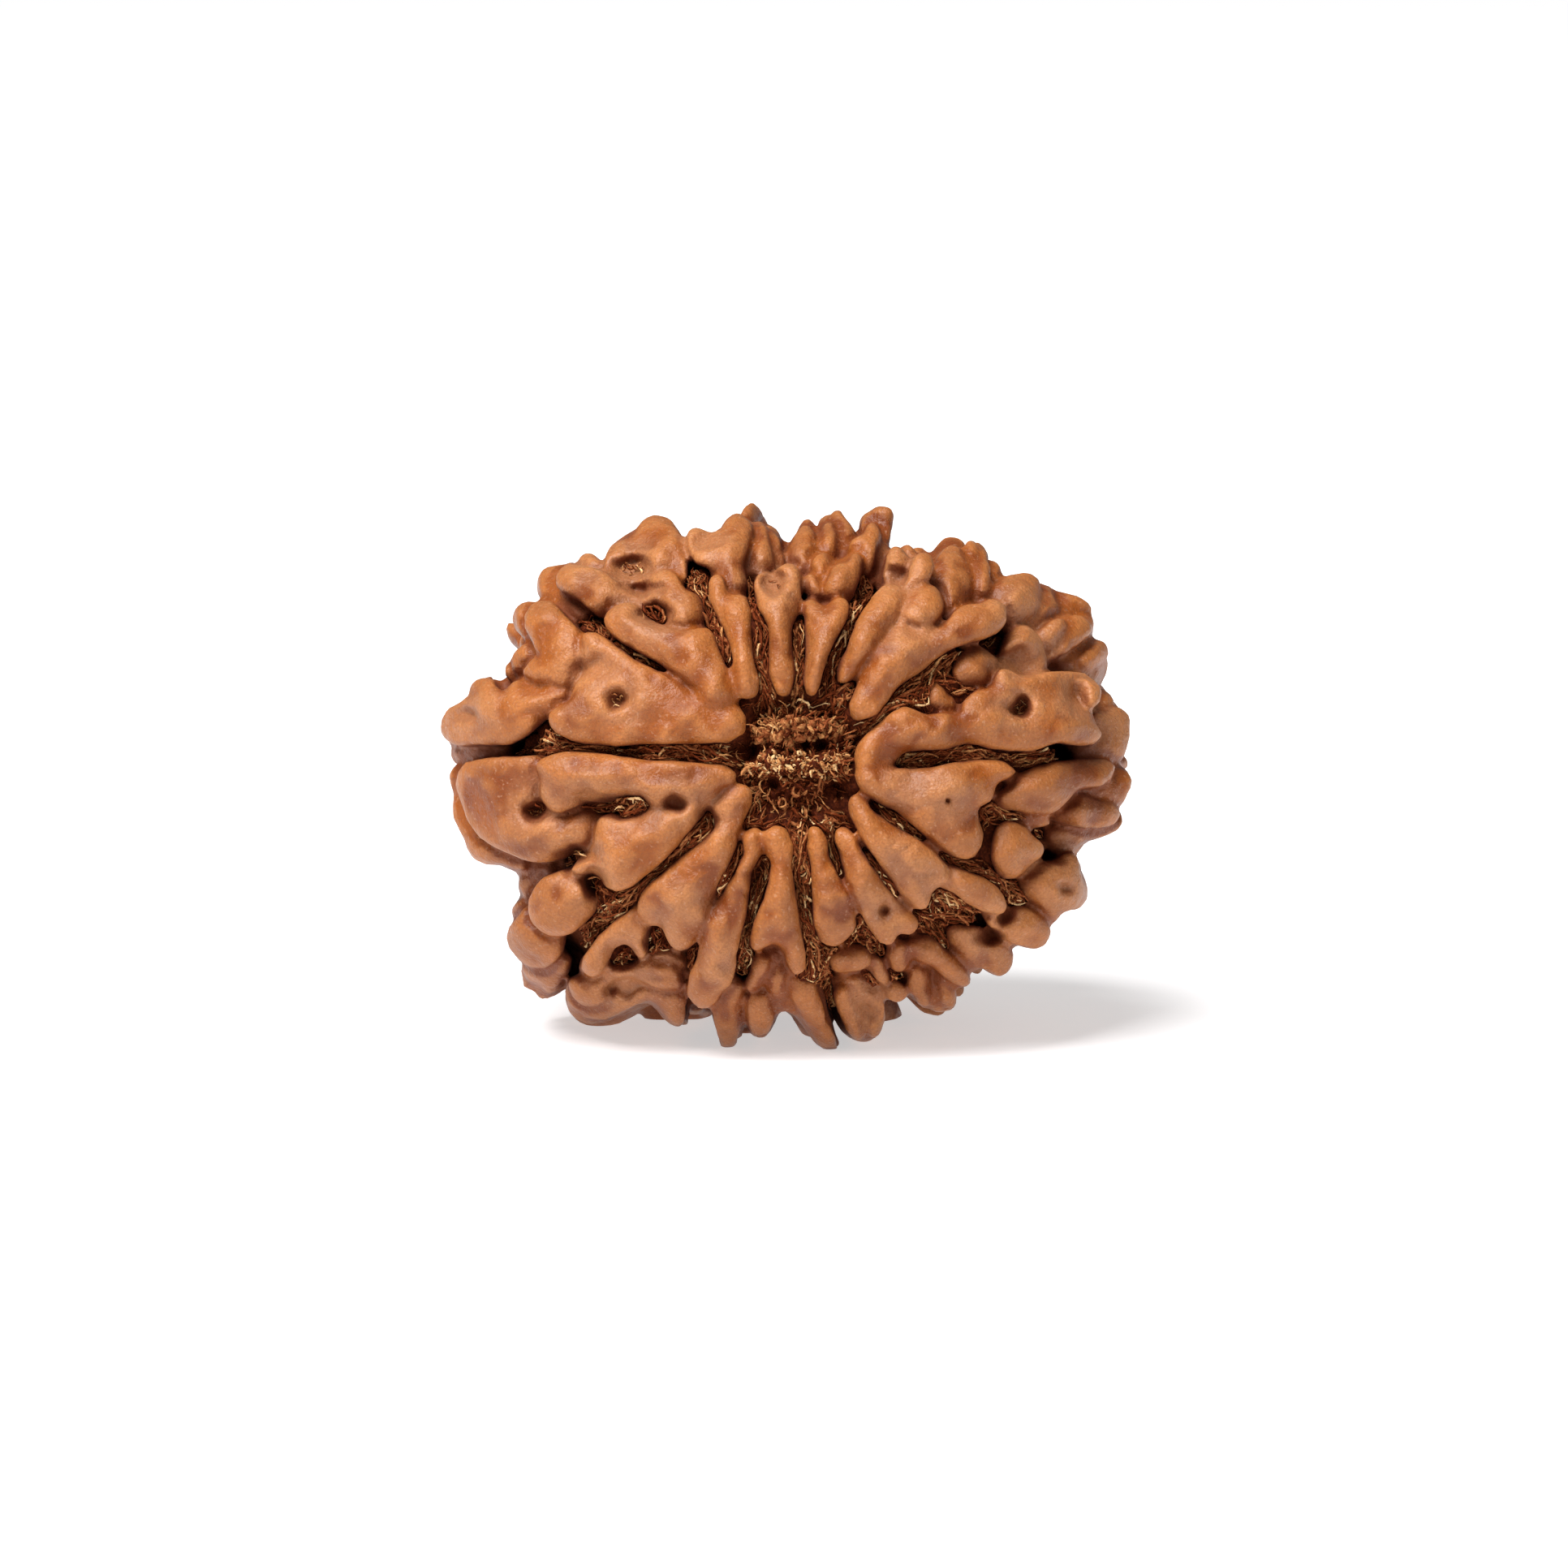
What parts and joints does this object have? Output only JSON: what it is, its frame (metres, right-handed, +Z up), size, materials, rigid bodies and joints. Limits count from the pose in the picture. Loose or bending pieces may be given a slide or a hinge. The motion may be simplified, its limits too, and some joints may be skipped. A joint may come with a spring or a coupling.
{
  "type": "rudraksha seed",
  "caption": "Dried woody fruit stone, a knobbly flattened ball with ribs and grooves running from pole to pole and dry fibre in the pole pits; strung or kept as a bead.",
  "frame": {"origin": "middle of the seed's outline seen from above, on the floor that it rests on", "axes": "+X across the seed's widest extent; +Y from the front pole to the hidden pole; +Z up"},
  "size_m": [0.034, 0.0268, 0.026],
  "materials": {
    "stone": "waxy satin, dried woody fruit stone",
    "fibre": "matt dried plant fibre"
  },
  "bodies": {
    "root": {"seed_stone": "stone", "pole_fibre_front": "fibre", "pole_fibre_back": "fibre"}
  },
  "joints": []
}
